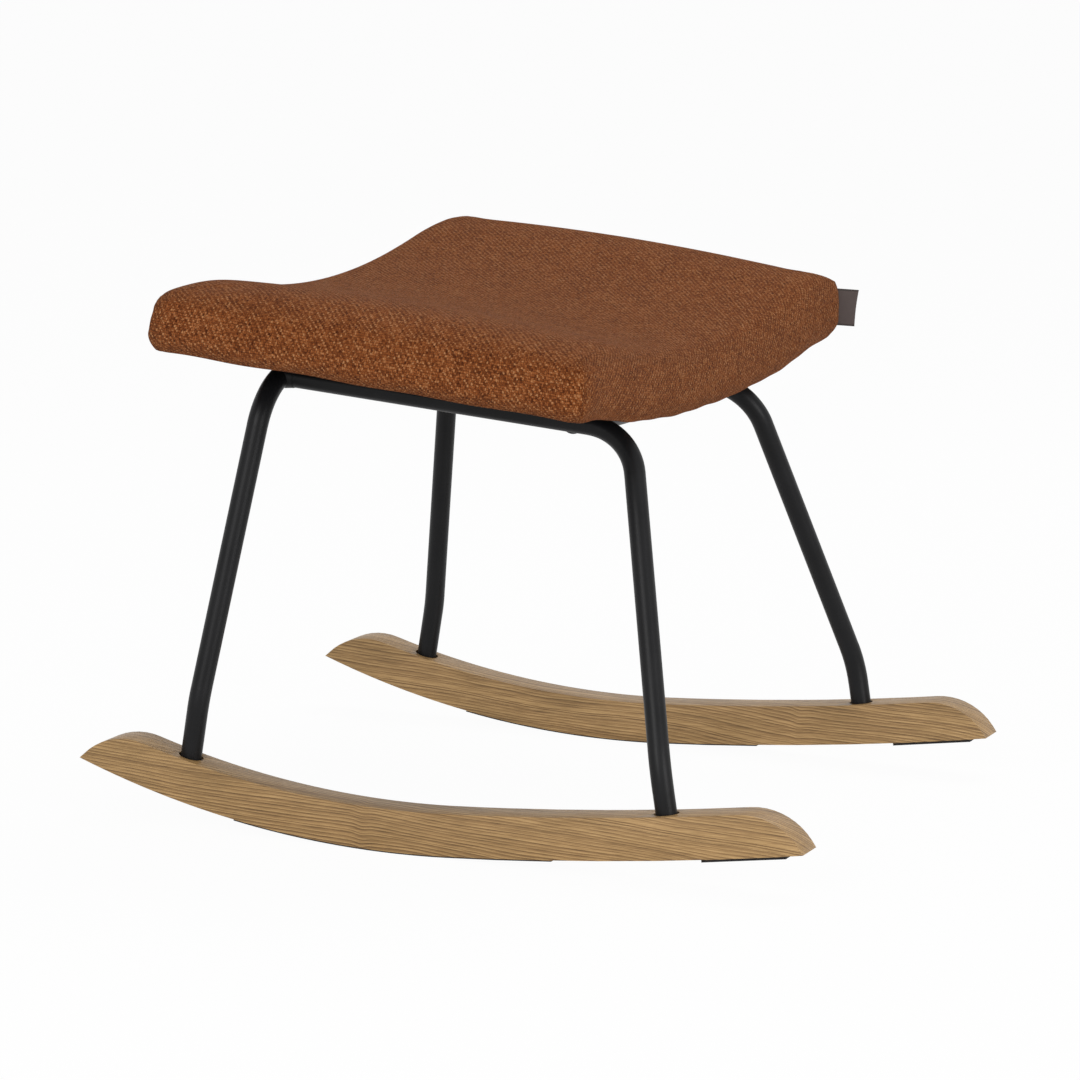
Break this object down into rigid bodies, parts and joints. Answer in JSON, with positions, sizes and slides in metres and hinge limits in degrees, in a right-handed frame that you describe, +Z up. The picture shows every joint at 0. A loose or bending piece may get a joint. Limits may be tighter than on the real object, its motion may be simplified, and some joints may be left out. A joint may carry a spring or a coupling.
{
  "type": "rocking footstool",
  "caption": "Rocking footstool with a rust woven saddle seat on a bent black steel tube frame and curved ash rockers.",
  "frame": {"origin": "on the floor, under the middle of the bounding box in length and width, with the stool at rest", "axes": "+Z up, +X along the rockers towards the low end with the stop pads, +Y across the stool to its left side"},
  "size_m": [0.5794, 0.5763, 0.4172],
  "materials": {
    "ash": "satin",
    "black_powder_coat": "satin",
    "black_rubber": "matte",
    "zinc_steel": "satin",
    "plywood": "matte",
    "foam": "matte",
    "rust_weave": "matte",
    "black_cloth": "matte",
    "brown_tape": "matte"
  },
  "bodies": {
    "root": {"right_rocker": "ash", "left_rocker": "ash", "right_grip_strip": "black_rubber", "left_grip_strip": "black_rubber", "right_stop_pad": "black_rubber", "left_stop_pad": "black_rubber", "right_side_frame": "black_powder_coat", "left_side_frame": "black_powder_coat", "rear_frame": "black_powder_coat", "front_cross_rail": "black_powder_coat", "seat_board": "plywood", "seat_foam": "foam", "seat_cover": "rust_weave", "dust_cover": "black_cloth", "staples": "zinc_steel", "label": "brown_tape", "rear_right_weld_bead": "black_powder_coat", "rear_left_weld_bead": "black_powder_coat", "front_right_weld_bead": "black_powder_coat", "front_left_weld_bead": "black_powder_coat", "rear_right_seat_tab": "black_powder_coat", "rear_left_seat_tab": "black_powder_coat", "front_right_seat_tab": "black_powder_coat", "front_left_seat_tab": "black_powder_coat", "rear_right_leg_insert": "zinc_steel", "rear_left_leg_insert": "zinc_steel", "front_right_leg_insert": "zinc_steel", "front_left_leg_insert": "zinc_steel", "rear_right_rocker_bolt": "zinc_steel", "rear_left_rocker_bolt": "zinc_steel", "front_right_rocker_bolt": "zinc_steel", "front_left_rocker_bolt": "zinc_steel", "rear_right_rocker_washer": "zinc_steel", "rear_left_rocker_washer": "zinc_steel", "front_right_rocker_washer": "zinc_steel", "front_left_rocker_washer": "zinc_steel", "rear_right_tee_nut": "zinc_steel", "rear_left_tee_nut": "zinc_steel", "front_right_tee_nut": "zinc_steel", "front_left_tee_nut": "zinc_steel", "rear_right_seat_bolt": "zinc_steel", "rear_left_seat_bolt": "zinc_steel", "front_right_seat_bolt": "zinc_steel", "front_left_seat_bolt": "zinc_steel", "rear_right_seat_washer": "zinc_steel", "rear_left_seat_washer": "zinc_steel", "front_right_seat_washer": "zinc_steel", "front_left_seat_washer": "zinc_steel"}
  },
  "joints": []
}
